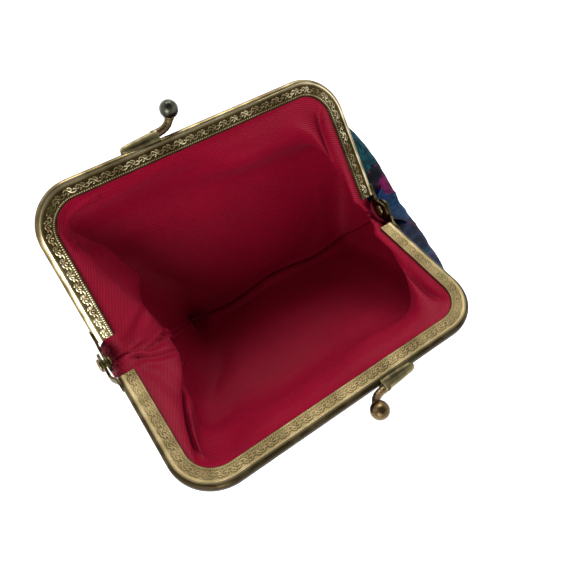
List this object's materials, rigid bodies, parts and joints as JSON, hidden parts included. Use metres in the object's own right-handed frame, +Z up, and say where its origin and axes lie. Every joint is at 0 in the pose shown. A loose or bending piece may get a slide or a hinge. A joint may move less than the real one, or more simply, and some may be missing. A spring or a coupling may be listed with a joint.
{
  "type": "coin purse",
  "caption": "Small kiss-lock coin purse standing open: a hinged, embossed brass frame with a ball clasp, a printed satin bag and a crimson twill lining.",
  "frame": {"origin": "on the flat underside of the bag, straight below the middle of the hinge axis", "axes": "+X to the right along the hinge axis, +Y towards the rear half, +Z up towards the mouth"},
  "size_m": [0.0876, 0.079, 0.0574],
  "materials": {
    "aged_brass": "aged, satin, embossed, worn bright on the ridge",
    "dark_brass": "aged darker, embossed, green-brown patina in the recesses",
    "clasp_brass": "olive-gold, worn",
    "stem_bronze": "brown bronze",
    "ball_bronze": "dark bronze, half polished",
    "rivet_brass": "aged",
    "printed_satin": "satin, soft abstract print in teal, blue, violet and magenta on navy",
    "crimson_twill": "fine diagonal twill with a soft sheen",
    "paper_twine": "matt twisted paper"
  },
  "bodies": {
    "bag": {"outer_front_panel": "printed_satin", "outer_rear_panel": "printed_satin", "lining_front_panel": "crimson_twill", "lining_rear_panel": "crimson_twill"},
    "front_half": {"front_frame": "aged_brass", "left_rivet": "rivet_brass", "right_rivet": "rivet_brass", "front_clasp_base": "clasp_brass", "front_clasp_stem": "stem_bronze", "front_clasp_ball": "ball_bronze", "front_packing_cord": "paper_twine"},
    "rear_half": {"rear_frame": "dark_brass", "rear_clasp_base": "clasp_brass", "rear_clasp_stem": "stem_bronze", "rear_clasp_ball": "ball_bronze", "rear_packing_cord": "paper_twine"}
  },
  "joints": [
    {"name": "front_swing", "type": "hinge", "parent": "bag", "child": "front_half", "pos_m": [0, 0, 0.038], "axis": [-1, 0, 0], "range_deg": [0, 65.15]},
    {"name": "rear_swing", "type": "hinge", "parent": "bag", "child": "rear_half", "pos_m": [0, 0, 0.038], "axis": [1, 0, 0], "range_deg": [0, 65.15]}
  ],
  "couplings": [
    {"joint": "rear_swing", "follows": "front_swing", "ratio": 1}
  ]
}
